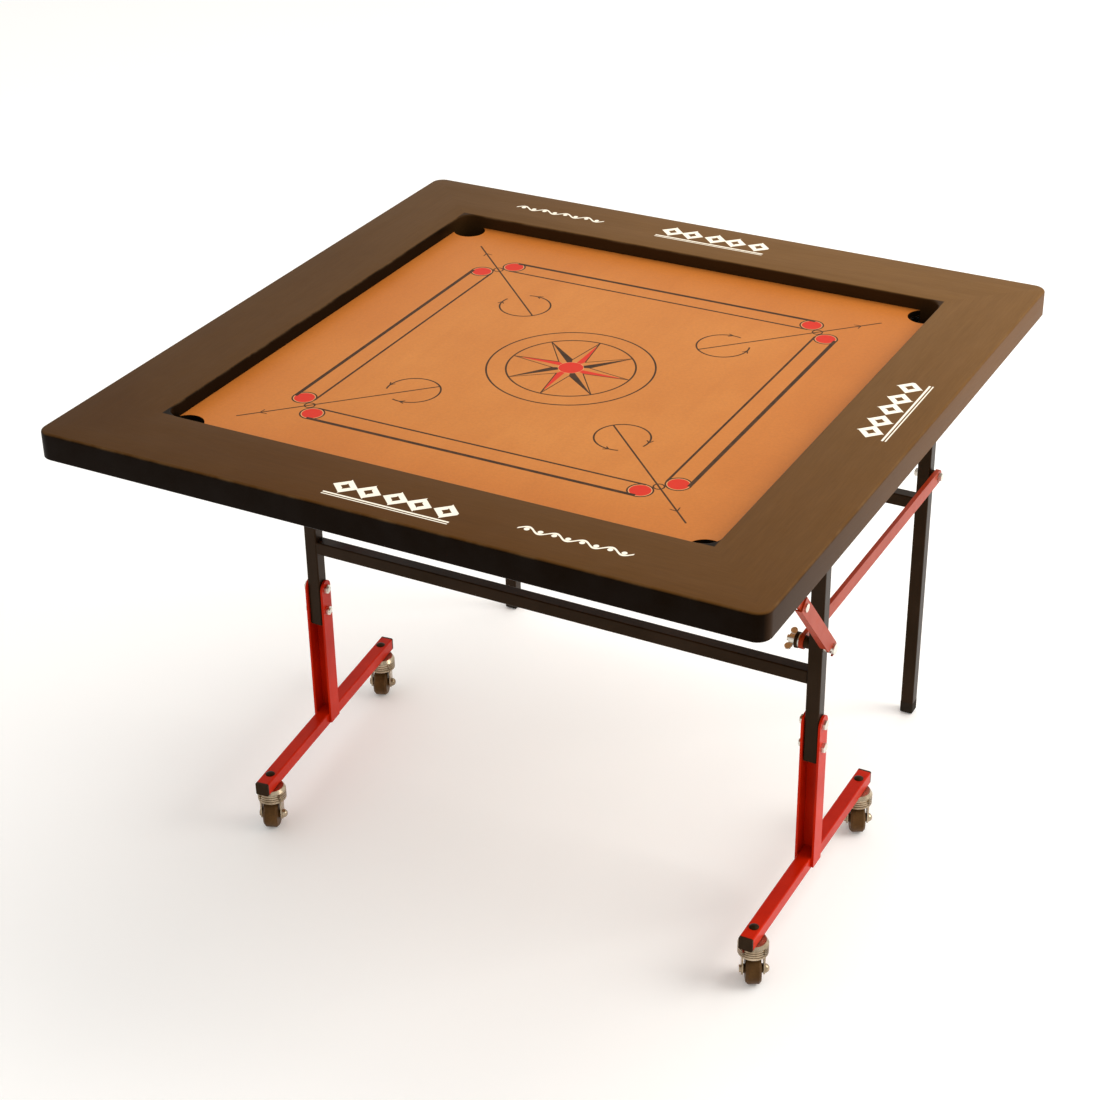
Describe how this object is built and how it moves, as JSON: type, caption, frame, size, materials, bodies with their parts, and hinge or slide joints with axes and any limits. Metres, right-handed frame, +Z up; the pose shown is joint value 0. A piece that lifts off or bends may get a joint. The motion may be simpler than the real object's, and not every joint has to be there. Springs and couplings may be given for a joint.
{
  "type": "carrom board on folding castor stand",
  "caption": "Square carrom board with pockets and netted corners on a folding steel stand: tilting board, swinging rear legs, link bars, hook stays with wing nuts, swivelling castors.",
  "frame": {"origin": "bottom centre of the bounding box, on the floor under the middle of the board", "axes": "+X right along the front edge, +Y to the rear legs, +Z up"},
  "size_m": [0.944, 0.944, 0.698],
  "materials": {
    "frame_wood": "dark stained, satin",
    "playing_ply": "lacquered plywood",
    "batten_wood": "plain",
    "ring_metal": "polished",
    "net_cord": "soft net",
    "black_steel": "satin",
    "zinc_steel": "bright zinc",
    "red_paint": "gloss",
    "black_plastic": "moulded",
    "rubber": "matt",
    "castor_zinc": "yellow zinc",
    "castor_wheel": "moulded"
  },
  "bodies": {
    "stand": {"upright_left": "black_steel", "upright_right": "black_steel", "front_crossbar": "black_steel", "channel_left": "red_paint", "channel_right": "red_paint", "channel_bolts": "zinc_steel", "foot_left": "red_paint", "foot_right": "red_paint", "foot_caps": "black_plastic", "stem_caps": "black_plastic", "castor_stems": "zinc_steel", "castor_top_races": "castor_zinc", "lock_bolts": "zinc_steel", "lock_collars": "zinc_steel", "link_spacers": "black_plastic", "lock_washers": "zinc_steel", "friction_discs": "black_plastic"},
    "board": {"rail_front": "frame_wood", "rail_back": "frame_wood", "rail_left": "frame_wood", "rail_right": "frame_wood", "playing_surface": "playing_ply", "battens": "batten_wood", "pocket_rings": "ring_metal", "pocket_nets": "net_cord", "tilt_brackets": "black_steel", "leg_brackets": "black_steel", "stay_brackets": "black_steel", "bracket_screws": "zinc_steel", "tilt_bolts": "zinc_steel", "leg_bolts": "zinc_steel", "stay_rivets": "zinc_steel"},
    "rear_legs": {"rear_leg_left": "black_steel", "rear_leg_right": "black_steel", "rear_crossbar": "black_steel", "leg_tips": "rubber", "link_bolts": "zinc_steel", "leg_spacers": "black_plastic"},
    "link_left": {"link_bar_left": "red_paint"},
    "link_right": {"link_bar_right": "red_paint"},
    "stay_left": {"stay_left_channel": "red_paint", "stay_left_bar": "red_paint", "stay_left_bolt": "zinc_steel"},
    "stay_right": {"stay_right_channel": "red_paint", "stay_right_bar": "red_paint", "stay_right_bolt": "zinc_steel"},
    "wing_left": {"wing_nut_left": "zinc_steel"},
    "wing_right": {"wing_nut_right": "zinc_steel"},
    "castor_front_left": {"fork_front_left": "castor_zinc", "axle_front_left": "castor_zinc"},
    "roller_front_left": {"wheel_front_left": "castor_wheel"},
    "castor_front_right": {"fork_front_right": "castor_zinc", "axle_front_right": "castor_zinc"},
    "roller_front_right": {"wheel_front_right": "castor_wheel"},
    "castor_rear_left": {"fork_rear_left": "castor_zinc", "axle_rear_left": "castor_zinc"},
    "roller_rear_left": {"wheel_rear_left": "castor_wheel"},
    "castor_rear_right": {"fork_rear_right": "castor_zinc", "axle_rear_right": "castor_zinc"},
    "roller_rear_right": {"wheel_rear_right": "castor_wheel"}
  },
  "joints": [
    {"name": "board_tilt", "type": "hinge", "parent": "stand", "child": "board", "pos_m": [0, -0.052, 0.646], "axis": [1, 0, 0], "range_deg": [0, 90], "deforming": ["pocket_nets"]},
    {"name": "rear_leg_fold", "type": "hinge", "parent": "board", "child": "rear_legs", "pos_m": [0, 0.437, 0.646], "axis": [1, 0, 0], "range_deg": [-90, 0]},
    {"name": "link_left_swing", "type": "hinge", "parent": "stand", "child": "link_left", "pos_m": [-0.358, -0.052, 0.4], "axis": [1, 0, 0], "range_deg": [0, 90]},
    {"name": "link_right_swing", "type": "hinge", "parent": "stand", "child": "link_right", "pos_m": [0.35, -0.052, 0.4], "axis": [1, 0, 0], "range_deg": [0, 90]},
    {"name": "stay_left_swing", "type": "hinge", "parent": "board", "child": "stay_left", "pos_m": [-0.394, -0.267, 0.646], "axis": [1, 0, 0], "range_deg": [0, 42]},
    {"name": "stay_right_swing", "type": "hinge", "parent": "board", "child": "stay_right", "pos_m": [0.386, -0.267, 0.646], "axis": [1, 0, 0], "range_deg": [0, 42]},
    {"name": "wing_left_turn", "type": "hinge", "parent": "stand", "child": "wing_left", "pos_m": [-0.345, -0.052, 0.4], "axis": [1, 0, 0], "continuous": true},
    {"name": "wing_right_turn", "type": "hinge", "parent": "stand", "child": "wing_right", "pos_m": [0.337, -0.052, 0.4], "axis": [1, 0, 0], "continuous": true},
    {"name": "swivel_front_left", "type": "hinge", "parent": "stand", "child": "castor_front_left", "pos_m": [-0.35819, -0.22587, 0.05], "axis": [0, 0, 1], "continuous": true},
    {"name": "roll_front_left", "type": "hinge", "parent": "castor_front_left", "child": "roller_front_left", "pos_m": [-0.35636, -0.23053, 0.02], "axis": [-0.9304, -0.3665, 0], "continuous": true},
    {"name": "swivel_front_right", "type": "hinge", "parent": "stand", "child": "castor_front_right", "pos_m": [0.37, -0.227, 0.05], "axis": [0, 0, 1], "continuous": true},
    {"name": "roll_front_right", "type": "hinge", "parent": "castor_front_right", "child": "roller_front_right", "pos_m": [0.37235, -0.23142, 0.02], "axis": [-0.8829, -0.4695, 0], "continuous": true},
    {"name": "swivel_rear_left", "type": "hinge", "parent": "stand", "child": "castor_rear_left", "pos_m": [-0.3986, 0.12883, 0.05], "axis": [0, 0, 1], "continuous": true},
    {"name": "roll_rear_left", "type": "hinge", "parent": "castor_rear_left", "child": "roller_rear_left", "pos_m": [-0.39677, 0.12418, 0.02], "axis": [-0.9304, -0.3665, 0], "continuous": true},
    {"name": "swivel_rear_right", "type": "hinge", "parent": "stand", "child": "castor_rear_right", "pos_m": [0.37, 0.13, 0.05], "axis": [0, 0, 1], "continuous": true},
    {"name": "roll_rear_right", "type": "hinge", "parent": "castor_rear_right", "child": "roller_rear_right", "pos_m": [0.37235, 0.12559, 0.02], "axis": [-0.8829, -0.4695, 0], "continuous": true}
  ],
  "couplings": [
    {"joint": "rear_leg_fold", "follows": "board_tilt", "ratio": -1},
    {"joint": "link_left_swing", "follows": "board_tilt", "ratio": 1},
    {"joint": "link_right_swing", "follows": "board_tilt", "ratio": 1}
  ]
}
